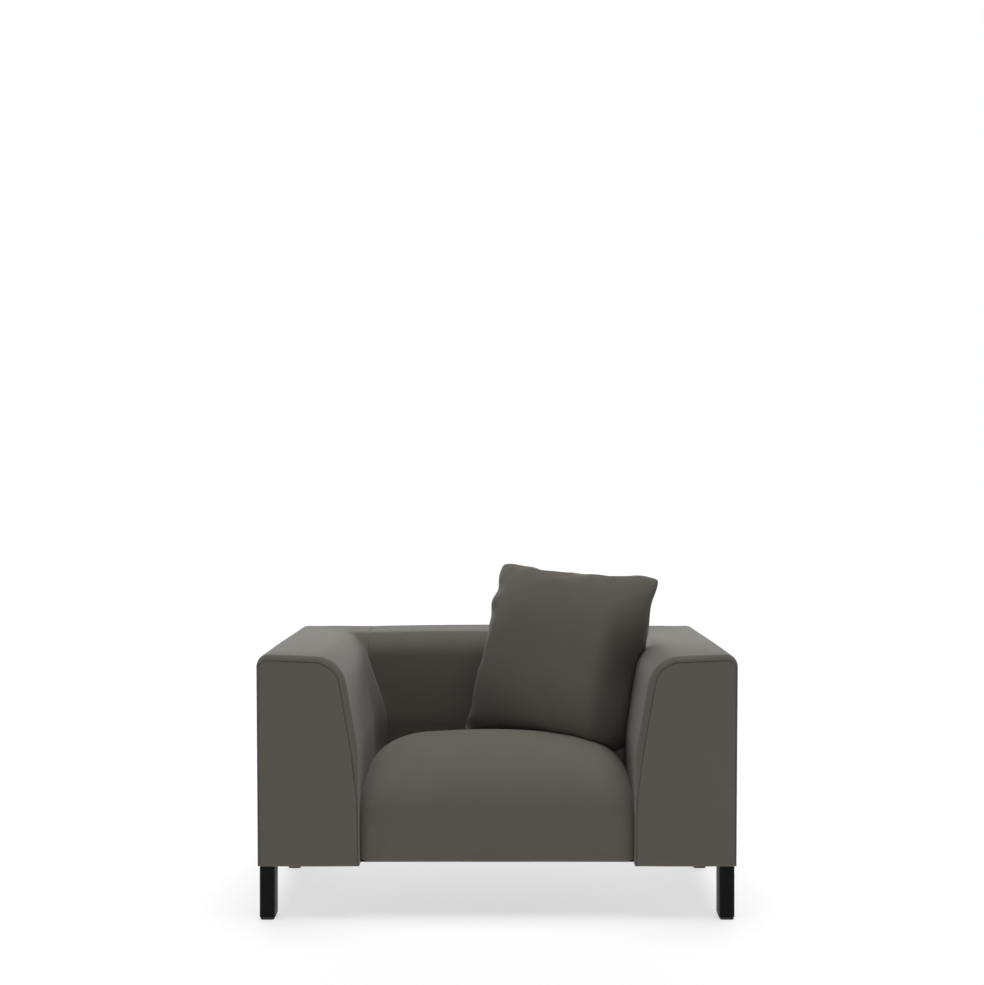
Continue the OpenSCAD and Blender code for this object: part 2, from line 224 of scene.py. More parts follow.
# Light from overhead: from which height of its direction, sideways tilt and strength
OVERHEAD_FROM = 0.9
OVERHEAD_TILT = 0.035
OVERHEAD_LIGHT = 4.25
# Low glow behind the chair: up to which height of its direction, half its width, and strength
GLOW_UP_TO = 0.3
GLOW_HALF_WIDTH = math.radians(60.0)
GLOW_LIGHT = 5.7
AMBIENT = 0.005
CAMERA_AT = (0.0, -3.982, 1.040)
SENSOR_MM = 36.0
LENS_MM = 54.67614
VIEW_SHIFT = (-0.0051777, -0.0059898)


# ---- small helpers ----

def smooth(low, high, value):
    """0 at low, 1 at high, with a smooth change between and no change beyond; low may be larger."""
    t = np.clip((np.asarray(value, float) - low) / (high - low), 0.0, 1.0)
    return t * t * (3.0 - 2.0 * t)


def soft_max(a, b, width):
    """The larger of a and b, with the corner between them rounded over width."""
    h = np.clip(0.5 + 0.5 * (a - b) / width, 0.0, 1.0)
    return b * (1.0 - h) + a * h + width * h * (1.0 - h)


def unit(v):
    """The same direction with length 1."""
    return v / np.linalg.norm(v)


def round_corner(a, b, c, r, steps=14):
    """Points of the arc of radius r that rounds corner b between a and c."""
    u, v = unit(a - b), unit(c - b)
    half = math.acos(float(np.clip(u @ v, -1.0, 1.0))) / 2.0
    middle = b + unit(u + v) * r / math.sin(half)
    start = b + u * r / math.tan(half) - middle
    end = b + v * r / math.tan(half) - middle
    turn = (math.pi - 2.0 * half) * np.sign(start[0] * end[1] - start[1] * end[0])
    angles = np.linspace(0.0, turn, steps)
    return [middle + np.array([start[0] * math.cos(t) - start[1] * math.sin(t),
                               start[0] * math.sin(t) + start[1] * math.cos(t)]) for t in angles]


def path(corners):
    """Open outline through the corners (x, z, radius), rounded at each inner corner."""
    points = [np.array(corners[0][:2], float)]
    for before, here, after in zip(corners, corners[1:], corners[2:]):
        ends = [np.array(p[:2], float) for p in (before, here, after)]
        points += round_corner(*ends, here[2])
    points.append(np.array(corners[-1][:2], float))
    return np.array(points)


def travelled(points):
    """Distance along an outline from its first point to each point."""
    steps = np.linalg.norm(np.diff(points, axis=0), axis=1)
    return np.concatenate([[0.0], np.cumsum(steps)])


def resample(points, step):
    """The same outline with evenly spaced points."""
    lengths = travelled(points)
    count = int(round(lengths[-1] / step)) + 1
    at = np.linspace(0.0, lengths[-1], count)
    return np.stack([np.interp(at, lengths, points[:, k]) for k in range(points.shape[1])], axis=1)


def inward(points):
    """Unit normals to the left of the direction of travel."""
    along = np.gradient(points, axis=0)
    along /= np.linalg.norm(along, axis=1)[:, None]
    return np.stack([-along[:, 1], along[:, 0]], axis=1)


def spread(low, high, step, ends):
    """Stations from low to high, a step apart, plus extra distances in from both ends."""
    inner = np.linspace(low, high, int(round((high - low) / step)) + 1)
    extra = [low + e for e in ends] + [high - e for e in ends]
    merged = np.unique(np.round(np.concatenate([inner, extra]), 6))
    keep = [merged[0]]
    for value in merged[1:]:
        if value - keep[-1] > 0.0005:
            keep.append(value)
    return np.array(keep)


def shade_smooth(mesh):
    """Shades every face of a mesh smooth."""
    mesh.polygons.foreach_set("use_smooth", [True] * len(mesh.polygons))


def new_mesh(name, points, faces):
    """A smooth-shaded mesh object in the scene."""
    mesh = bpy.data.meshes.new(name)
    mesh.from_pydata([tuple(p) for p in points], [], faces)
    mesh.validate()
    obj = bpy.data.objects.new(name, mesh)
    bpy.context.scene.collection.objects.link(obj)
    shade_smooth(mesh)
    return obj


def grid_faces(rows, columns, flip=False):
    """Quads of a grid of points stored row by row."""
    faces = []
    for r in range(rows - 1):
        for c in range(columns - 1):
            near, far = r * columns + c, (r + 1) * columns + c
            quad = (near, near + 1, far + 1, far)
            faces.append(quad[::-1] if flip else quad)
    return faces


def mirrored(points, side):
    """The points on the chair's right side, or mirrored to its left when side is -1."""
    out = np.array(points, float)
    out[:, 0] *= side
    return out


# ---- outlines of an arm and of the back ----

def wall_outline():
    """Half outline of an arm: (distance from the middle, height) from outer foot to inner foot."""
    return seam_points(resample(path([
        (HALF_W - LEAN, BASE_Z, 0),
        (HALF_W, TOP_Z, OUTER_R),
        (HALF_W - WALL_TOP, TOP_Z - TOP_FALL, SHOULDER_R),
        (HALF_W - WALL_FOOT, ARM_KNEE_Z, KNEE_R),
        (HALF_W - WALL_FOOT - ARM_FOOT_OUT, BASE_Z, 0)]), POINT_STEP))


def seam_points(outline):
    """Gives an arm's outline close points where the seam of the corner crosses its shoulder."""
    added = SEAM_X + np.array([0.0034, 0.0014, 0.0003, -0.0008])
    shoulder = (outline[:, 0] < INNER_FROM) & (outline[:, 1] > BACK_SHOULDER_Z)
    upper = outline[shoulder]
    height = np.interp(added, upper[::-1, 0], upper[::-1, 1])
    near = shoulder & (np.abs(outline[:, 0] - SEAM_X) < 0.0050)
    first = int(np.argmax(near))
    last = len(outline) - int(np.argmax(near[::-1]))
    return np.vstack([outline[:first], np.stack([added, height], axis=1), outline[last:]])


def corner_curve(y, z):
    """How far an arm's inner face curves in towards the back at depth y and height z."""
    start = BACK_FACE_Y - math.sqrt(CORNER_R ** 2 - (CORNER_R - CORNER_IN) ** 2)
    past = np.clip(np.asarray(y, float) - start, 0.0, BACK_FACE_Y - start)
    curve = CORNER_R - np.sqrt(CORNER_R ** 2 - past ** 2)
    return curve * (1.0 - smooth(CORNER_FULL_Z, CORNER_GONE_Z, z))


def arm_inner_x(y, z):
    """Distance from the middle to an arm's inner surface."""
    outline = wall_outline()
    inner = outline[outline[:, 0] < INNER_FROM]
    order = np.argsort(inner[:, 1])
    return np.interp(z, inner[order, 1], inner[order, 0]) - corner_curve(y, z)


def back_outline():
    """Section of the back as (y, z), from the seam at the rear, over the top, to behind the seat."""
    return resample(path([
        (REAR_Y, TOP_Z - REAR_ROLL, 0),
        (REAR_Y, TOP_Z, REAR_ROLL - 0.0005),
        (REAR_Y - WALL_TOP, TOP_Z - TOP_FALL, SHOULDER_R),
        (REAR_Y - WALL_FOOT + BACK_KNEE_OUT, BACK_KNEE_Z, KNEE_R),
        (REAR_Y - WALL_FOOT, BACK_FOOT_Z, 0)]), POINT_STEP)


def back_height(y):
    """Height of the back's top and shoulder at depth y, before its rear edge is rolled over."""
    outline = back_outline()
    flat = REAR_Y - 2.0 * REAR_ROLL
    upper = outline[(outline[:, 1] > BACK_SHOULDER_Z) & (outline[:, 0] < flat)][::-1]
    shoulder = np.interp(y, upper[:, 0], upper[:, 1], left=0.0)
    return np.where(y > upper[-1, 0], TOP_Z + (y - REAR_Y) * TOP_FALL / WALL_TOP, shoulder)


# ---- arms ----

def on_top(z):
    """1 on the top of an arm, fading to 0 down its sides."""
    return smooth(TOP_Z - 0.07, TOP_Z - 0.03, z)


def front_roll(points):
    """Radius of the rolled edge in front of each point of an arm's outline."""
    x, z = points[:, 0], points[:, 1]
    outer = ROLL_OUTER + (ROLL_TOP - ROLL_OUTER) * smooth(TOP_Z - 0.032, TOP_Z - 0.006, z)
    inner = ROLL_FOOT + (ROLL_INNER - ROLL_FOOT) * smooth(0.26, 0.43, z)
    radius = np.where(x > HALF_W - 0.04, outer, ROLL_TOP)
    return np.where(x < HALF_W - WALL_TOP + 0.04, inner, radius)


def seam_dip(distance):
    """Depth of the groove that a seam draws at a distance from it."""
    return SEAM_DEPTH * (1.0 - smooth(0.0, SEAM_WIDTH, distance))


def hem(points):
    """Adds the hem that is turned under at the two feet of an arm's outline."""
    first, last = points[0, 0], points[-1, 0]
    start = [[first - HEM_TURN, BASE_Z + HEM_HIGH], [first - HEM_BEND, BASE_Z + HEM_LOW]]
    end = [[last + HEM_BEND, BASE_Z + HEM_LOW], [last + HEM_TURN, BASE_Z + HEM_HIGH]]
    return np.vstack([start, points, end])


def arm_rows(section, radius):
    """Stations of an arm's cover from the seam in front to the seam at the rear."""
    normal = inward(section)
    rows = []
    for angle in np.radians(FRONT_ROLL_ANGLES):
        inset = radius * (1.0 - math.sin(angle))
        depth = FRONT_Y + radius * (1.0 - math.cos(angle)) + seam_dip(radius * angle)
        rows.append((section + normal * inset[:, None], depth))
    rows.insert(0, (rows[0][0] + normal * 0.0005, rows[0][1] + 0.003))
    depths = list(np.linspace(FRONT_Y + ROLL_CLEAR, REAR_Y - REAR_ROLL, ARM_STATIONS))
    depths += [REAR_Y - REAR_ROLL * (1.0 - math.sin(angle)) for angle in np.radians(REAR_ROLL_ANGLES)]
    return rows + [(section, np.full(len(section), y)) for y in depths]


def corner_lift(section, z, depth):
    """How far an arm's shoulder rises to join the back's, with the seam between them."""
    corner = (section[:, 0] >= SEAM_X) & (section[:, 1] > ARM_SHOULDER_Z)
    lift = soft_max(z, back_height(depth) - REAR_FALL, SHOULDER_BLEND) - z
    lift = lift * smooth(HALF_W - 0.05, HALF_W - 0.11, section[:, 0])
    lift = lift - seam_dip(section[:, 0] - SEAM_X) * smooth(0.0, 0.004, lift)
    return np.where(corner, lift, 0.0)


def rear_drop(depth):
    """How far the rolled rear edge has come down at a depth."""
    past = np.clip(depth - (REAR_Y - REAR_ROLL), 0.0, REAR_ROLL)
    return REAR_ROLL - np.sqrt(REAR_ROLL ** 2 - past ** 2)


def arm_place(section, place, depth):
    """Points of an arm's cover at one station: crowned on top, curved inside, joined to the back."""
    x, z = place[:, 0], place[:, 1]
    across = np.clip((HALF_W - section[:, 0]) / WALL_TOP, 0.0, 1.0)
    crown = ARM_CROWN * np.sin(np.pi * across) * smooth(FRONT_Y, FRONT_Y + CROWN_RAMP, depth)
    z = z + on_top(z) * (crown - REAR_FALL * smooth(FALL_FROM_Y, FALL_TO_Y, depth))
    x = np.where(section[:, 0] < INNER_FROM, x - corner_curve(depth, z), x)
    z = z + corner_lift(section, z, depth)
    z = z - rear_drop(depth) * on_top(z)
    turned_in = REAR_TURN_IN * np.clip((depth - REAR_Y + REAR_TURN) / REAR_TURN, 0.0, 1.0) ** 2
    x = x - np.where(section[:, 0] > HALF_W - 0.02, turned_in, 0.0)
    dip = np.where(depth > 0.0, seam_dip((REAR_Y - depth) * REAR_SEAM_SHARPER), 0.0)
    return np.stack([x, depth - dip, z], axis=1)


def arm_wrap(side, name, node):
    """Cover over the outside, top and inside of an arm."""
    outline = wall_outline()
    section = hem(outline)
    radius = np.concatenate([[ROLL_OUTER] * 2, front_roll(outline), [ROLL_FOOT] * 2])
    points = [arm_place(section, place, depth) for place, depth in arm_rows(section, radius)]
    closing = points[-1].copy()
    closing[:, 1] -= 0.004
    closing[:, 2] -= 0.0006 * smooth(TOP_Z - 0.08, TOP_Z - 0.04, closing[:, 2])
    points.append(closing)
    faces = grid_faces(len(points), len(section), flip=side < 0)
    wrap = new_mesh(name, mirrored(np.concatenate(points), side), faces)
    return finish_piece(wrap, node)


def arm_front(side, name, node):
    """Panel in front of an arm."""
    outline = wall_outline()
    edge = outline + inward(outline) * front_roll(outline)[:, None]
    return panel(name, node, edge * np.array([side, 1.0]), FRONT_Y, -1.0, FRONT_PANEL_CROWN)


def arm_rear(side, name, node):
    """Panel behind an arm, from its outer edge to the seam at the back."""
    outer, inner = HALF_W - REAR_PANEL_GAP, SEAM_X + SEAM_GAP
    edge = resample(path([(outer - LEAN, BASE_Z, 0), (outer, REAR_PANEL_TOP, REAR_ROLL),
                          (inner, REAR_PANEL_TOP, PANEL_CORNER_R), (inner, BASE_Z, 0)]), POINT_STEP)
    return panel(name, node, edge * np.array([side, 1.0]), REAR_Y, 1.0, REAR_PANEL_CROWN)


# ---- padded panels ----

def panel(name, node, edge, y0, facing, crown):
    """Padded panel inside a seam; edge runs from one foot, over the top, to the other foot."""
    rings = panel_rings(edge)
    inner = rings[-1]
    steps = int(abs(inner[0, 0] - inner[-1, 0]) / FILL_STEP) + 1
    foot = np.linspace(inner[-1], inner[0], steps + 1)[1:-1]
    middle, triangles = filled(np.vstack([inner, foot]))
    middle[:, 1] = -crown * panel_swell(middle, edge)
    foot[:, 1] = -crown * panel_swell(foot, edge)
    under = panel_foot(np.vstack([[r[-1] for r in rings], foot, [r[0] for r in rings[::-1]]]))
    points = np.concatenate(rings + [middle] + under)
    points[:, 1] = y0 - facing * points[:, 1]
    faces = grid_faces(len(rings), len(edge))
    start = len(rings) * len(edge)
    faces += [tuple(start + k for k in face) for face in triangles]
    start += len(middle)
    faces += [tuple(start + k for k in face) for face in grid_faces(len(under), len(under[0]))]
    obj = new_mesh(name, points, faces)
    weld(obj)
    outward_normals(obj, facing)
    return finish_piece(obj, node)


def panel_rings(edge):
    """Rows of points that round a panel's edge over from its seam to its face."""
    normal = inward(edge)
    if np.sum((edge - edge.mean(axis=0)) * normal) > 0:
        normal = -normal
    rings = []
    for inset, deep in PANEL_EDGE:
        place = edge + normal * inset
        height = np.maximum(place[:, 1], BASE_Z + FOOT_LIFT)
        rings.append(np.stack([place[:, 0], np.full(len(edge), deep), height], axis=1))
    return rings


def panel_foot(line):
    """Rows of points that turn a panel's lower edge under, starting with that edge."""
    rows = [line]
    for height, turn in PANEL_FOOT:
        row = line.copy()
        row[:, 1] += turn
        row[:, 2] = BASE_Z + height
        rows.append(row)
    return rows


def filled(loop):
    """Triangles that fill a closed loop in X and Z, with evenly spaced points inside it."""
    flat = [Vector((x, z)) for x, _, z in loop]
    low, high = loop.min(axis=0), loop.max(axis=0)
    for z in np.arange(low[2] + FILL_STEP, high[2], FILL_STEP):
        for x in np.arange(low[0] + FILL_STEP, high[0], FILL_STEP):
            near = np.hypot(loop[:, 0] - x, loop[:, 2] - z).min()
            if near > 0.6 * FILL_STEP:
                flat.append(Vector((x, z)))
    ring = list(range(len(loop)))
    found = delaunay_2d_cdt(flat, [], [ring], 1, 1e-6)
    points = np.array([[p.x, 0.0, p.y] for p in found[0]])
    return points, [tuple(face) for face in found[2]]


def weld(obj):
    """Joins the points that lie on each other and makes the faces agree on their outside."""
    shape = bmesh.new()
    shape.from_mesh(obj.data)
    bmesh.ops.remove_doubles(shape, verts=shape.verts, dist=0.00002)
    bmesh.ops.recalc_face_normals(shape, faces=shape.faces)
    shape.to_mesh(obj.data)
    shape.free()
    obj.data.update()
    shade_smooth(obj.data)


def panel_swell(points, edge):
    """How far a panel is padded out, from 0 at its seam to 1 well inside it."""
    gap = np.full(len(points), 1.0)
    for x, z in edge:
        gap = np.minimum(gap, np.hypot(points[:, 0] - x, points[:, 2] - z))
    return smooth(0.0, PANEL_SWELL_IN, gap)


def outward_normals(obj, facing):
    """Turns the faces of a panel to the front when facing is -1, or to the rear when it is 1."""
    mesh = obj.data
    if sum(p.normal[1] * p.area for p in mesh.polygons) * facing < 0:
        mesh.flip_normals()


# ---- back ----

def back_rear(name, node):
    """Outer panel of the back, between the seams to the arms."""
    side, high = SEAM_X - SEAM_GAP, REAR_PANEL_TOP
    edge = resample(path([(side, BASE_Z, 0), (side, high, PANEL_CORNER_R),
                          (0.0, high + REAR_PANEL_GAP, BACK_ARCH_R),
                          (-side, high, PANEL_CORNER_R), (-side, BASE_Z, 0)]), POINT_STEP)
    return panel(name, node, edge, REAR_Y, 1.0, BACK_CROWN)


def back_wrap(name, node):
    """Cover over the top and the inner face of the back, between its two side seams."""
    section = back_outline()
    normal = inward(section)
    rear_dip = seam_dip(travelled(section))
    top = smooth(BACK_SHOULDER_Z, TOP_Z - 0.01, section[:, 1])
    face = smooth(0.10, 0.30, REAR_Y - section[:, 0]) * (1.0 - smooth(0.50, 0.62, section[:, 1]))
    stations = spread(-SEAM_X, SEAM_X, BACK_STEP, (0.0008, 0.0018, 0.0032, 0.006))
    points = []
    for x in stations:
        swell = 1.0 - (x / SEAM_X) ** 2
        dip = seam_dip(SEAM_X - abs(x)) + rear_dip
        place = section + normal * dip[:, None]
        y = place[:, 0] - BACK_SWELL * swell * face
        z = place[:, 1] + top * (BACK_CROWN * swell - REAR_FALL)
        points.append(np.stack([np.full(len(section), x), y, z], axis=1))
    faces = grid_faces(len(stations), len(section), flip=True)
    wrap = new_mesh(name, np.concatenate(points), faces)
    return finish_piece(wrap, node)


# ---- seat ----

def seat_profile():
    """Middle section of the seat as (y, z), from the hem under its front to its rear."""
    points = [(SEAT_FRONT + 0.024, SEAT_BASE + 0.0012), (SEAT_FRONT + 0.006, SEAT_BASE + 0.0003),
              (SEAT_FRONT + 0.0016, SEAT_BASE + 0.0014), (SEAT_FRONT, SEAT_BASE + 0.006)]
    points += [(SEAT_FRONT, z) for z in np.linspace(SEAT_BASE + 0.014, FACE_TOP, 9)]
    reach, rise = CROWN_Y - SEAT_FRONT, SEAT_CROWN - FACE_TOP
    for angle in np.radians(np.linspace(4.0, 90.0, 34)):
        part_y = math.cos(angle) ** (2.0 / ROLL_POWER)
        part_z = math.sin(angle) ** (2.0 / ROLL_POWER)
        points.append((CROWN_Y - reach * part_y, FACE_TOP + rise * part_z))
    for part in np.linspace(0.06, 1.0, 20):
        fall = (SEAT_CROWN - SEAT_REAR_Z) * part ** SEAT_FALL
        points.append((CROWN_Y + (SEAT_REAR_Y - CROWN_Y) * part, SEAT_CROWN - fall))
    return np.array(points)


def seat_row(y, z, inner, up):
    """One row of the seat across its width; up is 1 where the seat faces up and 0 on its front."""
    behind = np.clip((y - CROWN_Y) / (SEAT_REAR_Y - CROWN_Y), 0.0, 1.0)
    drop = (SIDE_DROP + SIDE_DROP_TOP * up ** 1.2) * (1.0 - REAR_FLATTER * behind)
    reach = SIDE_REACH + SIDE_REACH_TOP * up ** 0.8
    half = float(arm_inner_x(y + inner[0] * drop, TOUCH_Z)) + PRESSED_IN
    flat_half = half - reach
    flat = np.linspace(-flat_half, flat_half, 37)
    part = np.sin(np.radians(np.linspace(0.0, 90.0, 22)))[1:]
    fall = drop * (1.0 - np.sqrt(np.maximum(0.0, 1.0 - part ** 2)))
    edge = flat_half + reach * part
    xs = np.concatenate([-edge[::-1], flat, edge])
    depth = np.concatenate([fall[::-1], np.zeros(len(flat)), fall])
    slope = TOP_SLOPE * up * np.clip(np.abs(xs) / flat_half, 0.0, 1.0) ** 2
    move = depth + slope + FRONT_BOW * (1.0 - up) * (xs / half) ** 2
    return np.stack([xs, y + inner[0] * move, z + inner[1] * move], axis=1)


def seat_upholstery(name, node):
    """The seat: one padded form, continuous from its crown down the front."""
    profile = seat_profile()
    normal = -inward(profile)
    level = np.clip(-normal[:, 1], 0.0, 1.0)
    level[:HEM_ROWS] = 0.0
    rows = [seat_row(y, z, inner, up) for (y, z), inner, up in zip(profile, normal, level)]
    grid = np.concatenate(rows)
    grid[:, 2] = np.maximum(grid[:, 2], SEAT_BASE)
    seat = new_mesh(name, grid, grid_faces(len(rows), len(rows[0])))
    return finish_piece(seat, node)


# ---- throw cushion ----

def cushion_key(i, j, layer):
    """Key of a grid point; the two sheets share the points of their common edge."""
    return (i, j, 0 if i in (0, CUSHION_GRID) or j in (0, CUSHION_GRID) else layer)


def cushion_point(u, v, layer):
    """Point of the unfilled cover; u and v run from -1 to 1 between its edges."""
    blunt = 1.0 - CORNER_BLUNT * abs(u * v) ** 12
    rise = layer * CUSHION_PUFF * ((1 - abs(u) ** 3) * (1 - abs(v) ** 3)) ** 0.7
    return (u * blunt * CUSHION_SIDE / 2, rise, v * blunt * CUSHION_SIDE / 2)


def cushion_blank():
    """Square cover, cut with blunt corners and sewn from two sheets, before it is filled out."""
    n = CUSHION_GRID
    at = np.linspace(-1.0, 1.0, n + 1)
    index = {}
    points, faces = [], []
    for layer in (-1, 1):
        for i, u in enumerate(at):
            for j, v in enumerate(at):
                key = cushion_key(i, j, layer)
                if key not in index:
                    index[key] = len(points)
                    points.append(cushion_point(u, v, key[2]))
        for i in range(n):
            for j in range(n):
                corners = ((i, j), (i + 1, j), (i + 1, j + 1), (i, j + 1))
                quad = tuple(index[cushion_key(a, b, layer)] for a, b in corners)
                faces.append(quad if layer < 0 else quad[::-1])
    return new_mesh("throw_cushion", points, faces)


def inflate(obj, pressure, frames):
    """Fills a closed cloth by pressure and keeps the shape that it settles into."""
    scene = bpy.context.scene
    cloth = obj.modifiers.new("fill", "CLOTH")
    cloth.settings.quality = 6
    cloth.settings.mass = 0.25
    cloth.settings.air_damping = 4.0
    cloth.settings.tension_stiffness = 22.0
    cloth.settings.compression_stiffness = 14.0
    cloth.settings.shear_stiffness = 9.0
    cloth.settings.bending_stiffness = 0.6
    cloth.settings.shrink_min = -0.03
    cloth.settings.use_pressure = True
    cloth.settings.uniform_pressure_force = pressure
    cloth.settings.effector_weights.gravity = 0.0
    cloth.collision_settings.use_collision = False
    cloth.point_cache.frame_start = 1
    cloth.point_cache.frame_end = frames
    scene.frame_start, scene.frame_end = 1, frames
    for number in range(1, frames + 1):
        scene.frame_set(number)
    graph = bpy.context.evaluated_depsgraph_get()
    settled = bpy.data.meshes.new_from_object(obj.evaluated_get(graph))
    obj.modifiers.remove(cloth)
    old = obj.data
    obj.data = settled
    bpy.data.meshes.remove(old)
    scene.frame_set(1)


def puckers(points):
    """Small gathers that the sewn edges draw into a filled cover, and the ears at two corners."""
    out = points.copy()
    u, v = 2.0 * points[:, 0] / CUSHION_SIDE, 2.0 * points[:, 2] / CUSHION_SIDE
    for across, along, axis in ((u, v, 0), (v, u, 2)):
        near = np.clip(1.0 - np.abs(across), 0.0, 1.0)
        left_upper = np.where(across < 0, smooth(-0.2, 0.15, along) * smooth(1.0, 0.85, along), 0.0)
        amount = PUCKER * (0.35 + (0.9 * left_upper if axis == 0 else 0.0))
        wave = np.sin(14.0 * along + 1.3 * axis + 0.9) + 0.6 * np.sin(23.0 * along + 2.1)
        edge = np.exp(-(near / PUCKER_WIDTH) ** 2)
        fold = np.exp(-((near - FOLD_IN) / FOLD_WIDTH) ** 2)
        out[:, axis] += amount * wave * edge * np.sign(across)
        out[:, 1] += 1.3 * amount * wave * fold * np.sign(points[:, 1])
    ear = smooth(0.80, 1.0, -u) * smooth(0.80, 1.0, -v)
    out[:, 0] -= EAR_OUT * ear
    out[:, 2] += EAR_UP * ear
    out[:, 1] += EAR_CURL * ear * np.sin(26.0 * v)
    out[:, 0] += UPPER_EAR_OUT * smooth(0.78, 1.0, u) * smooth(0.72, 1.0, v)
    return out


def tucked(points):
    """The lower part of the edge beside the arm is pushed back into the gap there."""
    out = points.copy()
    u, v = 2.0 * points[:, 0] / CUSHION_SIDE, 2.0 * points[:, 2] / CUSHION_SIDE
    low = smooth(0.75, -0.25, v)
    out[:, 1] += TUCK * smooth(0.56, 1.02, u) ** 1.2 * low
    out[:, 0] -= 0.35 * TUCK * smooth(0.62, 1.05, u) * low
    out[:, 2] += 0.40 * TUCK * smooth(0.62, 1.0, u) * smooth(0.62, 1.0, -v)
    return out


def mesh_points(obj):
    """Positions of an object's vertices, one row each."""
    flat = np.empty(len(obj.data.vertices) * 3)
    obj.data.vertices.foreach_get("co", flat)
    return flat.reshape(-1, 3)


def set_points(obj, points):
    """Moves an object's vertices to the given positions."""
    obj.data.vertices.foreach_set("co", np.ascontiguousarray(points).ravel())
    obj.data.update()


def turned(points, lean, tilt, turn):
    """Turns points about X, then Y, then Z."""
    cx, sx, cy, sy, cz, sz = (f(a) for a in (lean, tilt, turn) for f in (math.cos, math.sin))
    about_x = np.array([[1, 0, 0], [0, cx, -sx], [0, sx, cx]])
    about_y = np.array([[cy, 0, sy], [0, 1, 0], [-sy, 0, cy]])
    about_z = np.array([[cz, -sz, 0], [sz, cz, 0], [0, 0, 1]])
    return points @ (about_z @ about_y @ about_x).T


def rest_on(points, other, axis, sign, start):
    """Presses points that lie inside a neighbour, seen along an axis from start, back to its surface."""
    tree = BVHTree.FromObject(other, bpy.context.evaluated_depsgraph_get())
    direction = Vector((0.0, 0.0, 0.0))
    direction[axis] = sign
    out = points.copy()
    for k, p in enumerate(points):
        origin = Vector(p)
        origin[axis] = start
        hit = tree.ray_cast(origin, direction)[0]
        if hit is None:
            continue
        limit = hit[axis] - sign * CUSHION_GAP
        if (p[axis] - limit) * sign > 0:
            out[k, axis] = limit
    return out


def throw_cushion(seat, arm, back):
    """Loose cushion, filled and then laid on the seat, against the arm and the back."""
    cushion = cushion_blank()
    inflate(cushion, PRESSURE, FILL_FRAMES)
    local = tucked(puckers(mesh_points(cushion)))
    placed = turned(local, CUSHION_LEAN, CUSHION_TILT, CUSHION_TURN) + np.array(CUSHION_AT)
    placed = rest_on(placed, seat, 2, -1.0, 1.0)
    placed = rest_on(placed, arm, 0, 1.0, 0.0)
    placed = rest_on(placed, back, 1, 1.0, -0.3)
    set_points(cushion, placed)
    shade_smooth(cushion.data)
    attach(cushion, "throw_cushion")
    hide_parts("cushion_cover", "cushion_filling")
    return cushion


def finish_piece(obj, node):
    """Attaches a piece of the fixed upholstery to the chair and hides the CAD node that it replaces."""
    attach(obj, "chair")
    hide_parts(node)
    return obj


# ---- materials ----

def new_material(name, base, rough):
    """A material with its node tree and its shader."""
    material = bpy.data.materials.new(name)
    material.use_nodes = True
    shader = material.node_tree.nodes["Principled BSDF"]
    shader.inputs["Base Color"].default_value = (*base, 1.0)
    shader.inputs["Roughness"].default_value = rough
    return material, material.node_tree, shader


def node(tree, kind, **sockets):
    """A new node, with values for its sockets given by their names."""
    made = tree.nodes.new(kind)
    for key, value in sockets.items():
        made.inputs[key].default_value = value
    return made


def parts_of(tree, vector):
    """The X, Y and Z of a vector."""
    made = node(tree, "ShaderNodeSeparateXYZ")
    tree.links.new(vector, made.inputs[0])
    return list(made.outputs)


def maths(tree, operation, first, second=None):
    """A calculation on one or two values, each a number or another node's output."""
    made = node(tree, "ShaderNodeMath")
    made.operation = operation
    for k, value in enumerate((first, second)):
        if value is None:
            continue
        if isinstance(value, (int, float)):
            made.inputs[k].default_value = value
        else:
            tree.links.new(value, made.inputs[k])
    return made.outputs[0]


def weighted(tree, *pairs):
    """Sum of the values in (value, weight) pairs."""
    total = None
    for value, weight in pairs:
        part = maths(tree, "MULTIPLY", value, weight)
        total = part if total is None else maths(tree, "ADD", total, part)
    return total


def object_place(tree):
    """Position on the object's own axes."""
    return node(tree, "ShaderNodeTexCoord").outputs["Object"]


def noise(tree, vector, scale, detail=2.0):
    """Soft random value from 0 to 1 at each position."""
    made = node(tree, "ShaderNodeTexNoise", Scale=scale, Detail=detail)
    tree.links.new(vector, made.inputs["Vector"])
    return made.outputs["Fac"]


def shade_between(tree, shader, fac, dark, light):
    """Base colour that runs from dark to light with fac."""
    made = node(tree, "ShaderNodeValToRGB")
    for element, colour, position in zip(made.color_ramp.elements, (dark, light), (0.25, 0.75)):
        element.color = (*colour, 1.0)
        element.position = position
    tree.links.new(fac, made.inputs[0])
    tree.links.new(made.outputs[0], shader.inputs["Base Color"])


def bump(tree, shader, height, strength, distance):
    """Gives a surface fine relief from a height."""
    made = node(tree, "ShaderNodeBump", Strength=strength, Distance=distance)
    tree.links.new(height, made.inputs["Height"])
    tree.links.new(made.outputs[0], shader.inputs["Normal"])


def weave_height(tree, place, thread):
    """Height of a plain weave, laid over each of the three planes and blended by the normal."""
    waves = [maths(tree, "SINE", maths(tree, "MULTIPLY", axis, math.pi / thread))
             for axis in parts_of(tree, place)]
    facing = parts_of(tree, node(tree, "ShaderNodeNewGeometry").outputs["Normal"])
    pairs = []
    for k in range(3):
        crossing = maths(tree, "MULTIPLY", waves[(k + 1) % 3], waves[(k + 2) % 3])
        pairs.append((crossing, maths(tree, "POWER", maths(tree, "ABSOLUTE", facing[k]), 4.0)))
    return maths(tree, "MULTIPLY", maths(tree, "ADD", weighted(tree, *pairs), 1.0), 0.5)


